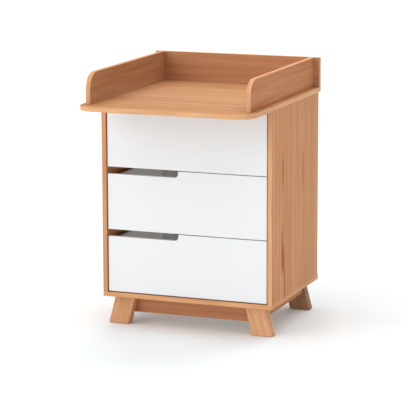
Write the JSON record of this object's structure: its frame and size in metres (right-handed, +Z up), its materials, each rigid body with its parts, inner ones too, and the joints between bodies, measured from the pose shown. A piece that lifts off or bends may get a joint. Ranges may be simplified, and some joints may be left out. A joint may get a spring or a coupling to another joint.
{
  "type": "changing table",
  "caption": "Baby changing table: a chest of drawers with finger notches on splayed legs, under a deep changing top with boards on the sides and the back.",
  "frame": {"origin": "on the floor, under the centre of the whole object's box", "axes": "+Z up, +X to the right seen from the front, +Y towards the back; drawers pull out along -Y"},
  "size_m": [0.625, 0.734, 0.904],
  "materials": {
    "beech_laminate": "satin woodgrain laminate",
    "solid_beech": "oiled",
    "white_laminate": "satin white laminate",
    "lacquered_hardboard": "white lacquered face",
    "dowel_beech": "raw",
    "runner_steel": "bright zinc plated",
    "zinc_plated_steel": "zinc plated",
    "zinc_alloy": "die cast",
    "glide_plastic": "moulded"
  },
  "bodies": {
    "chest": {"back_panel": "lacquered_hardboard", "back_panel_nails": "zinc_plated_steel", "bottom_panel": "beech_laminate", "confirmat_screws": "zinc_plated_steel", "frame_rail_left": "beech_laminate", "frame_rail_rear": "beech_laminate", "frame_rail_right": "beech_laminate", "frame_screws": "zinc_plated_steel", "front_apron": "beech_laminate", "leg_front_left": "solid_beech", "leg_front_right": "solid_beech", "leg_glides": "glide_plastic", "leg_rear_left": "solid_beech", "leg_rear_right": "solid_beech", "leg_screws": "zinc_plated_steel", "rail_cam_fittings": "zinc_alloy", "runner_lower_cabinet_members": "runner_steel", "runner_middle_cabinet_members": "runner_steel", "runner_screws": "zinc_plated_steel", "runner_upper_cabinet_members": "runner_steel", "side_panel_left": "beech_laminate", "side_panel_right": "beech_laminate", "top_extension": "beech_laminate", "top_panel": "beech_laminate", "top_rail_front": "beech_laminate", "top_rail_rear": "beech_laminate", "top_screws": "zinc_plated_steel", "tray_back_board": "beech_laminate", "tray_screws": "zinc_plated_steel", "tray_side_left": "beech_laminate", "tray_side_right": "beech_laminate", "wood_dowels": "dowel_beech"},
    "drawer_lower": {"drawer_lower_back": "white_laminate", "drawer_lower_base": "lacquered_hardboard", "drawer_lower_cam_fittings": "zinc_alloy", "drawer_lower_drawer_members": "runner_steel", "drawer_lower_front": "white_laminate", "drawer_lower_screws": "zinc_plated_steel", "drawer_lower_side_left": "white_laminate", "drawer_lower_side_right": "white_laminate"},
    "runner_lower": {"runner_lower_middle_members": "runner_steel"},
    "drawer_middle": {"drawer_middle_back": "white_laminate", "drawer_middle_base": "lacquered_hardboard", "drawer_middle_cam_fittings": "zinc_alloy", "drawer_middle_drawer_members": "runner_steel", "drawer_middle_front": "white_laminate", "drawer_middle_screws": "zinc_plated_steel", "drawer_middle_side_left": "white_laminate", "drawer_middle_side_right": "white_laminate"},
    "runner_middle": {"runner_middle_middle_members": "runner_steel"},
    "drawer_upper": {"drawer_upper_back": "white_laminate", "drawer_upper_base": "lacquered_hardboard", "drawer_upper_cam_fittings": "zinc_alloy", "drawer_upper_drawer_members": "runner_steel", "drawer_upper_front": "white_laminate", "drawer_upper_screws": "zinc_plated_steel", "drawer_upper_side_left": "white_laminate", "drawer_upper_side_right": "white_laminate"},
    "runner_upper": {"runner_upper_middle_members": "runner_steel"}
  },
  "joints": [
    {"name": "drawer_lower_slide", "type": "slide", "parent": "chest", "child": "drawer_lower", "axis": [0, -1, 0], "range_m": [0, 0.45]},
    {"name": "runner_lower_slide", "type": "slide", "parent": "chest", "child": "runner_lower", "axis": [0, -1, 0], "range_m": [0, 0.225]},
    {"name": "drawer_middle_slide", "type": "slide", "parent": "chest", "child": "drawer_middle", "axis": [0, -1, 0], "range_m": [0, 0.45]},
    {"name": "runner_middle_slide", "type": "slide", "parent": "chest", "child": "runner_middle", "axis": [0, -1, 0], "range_m": [0, 0.225]},
    {"name": "drawer_upper_slide", "type": "slide", "parent": "chest", "child": "drawer_upper", "axis": [0, -1, 0], "range_m": [0, 0.45]},
    {"name": "runner_upper_slide", "type": "slide", "parent": "chest", "child": "runner_upper", "axis": [0, -1, 0], "range_m": [0, 0.225]}
  ],
  "couplings": [
    {"joint": "runner_lower_slide", "follows": "drawer_lower_slide", "ratio": 0.5},
    {"joint": "runner_middle_slide", "follows": "drawer_middle_slide", "ratio": 0.5},
    {"joint": "runner_upper_slide", "follows": "drawer_upper_slide", "ratio": 0.5}
  ]
}
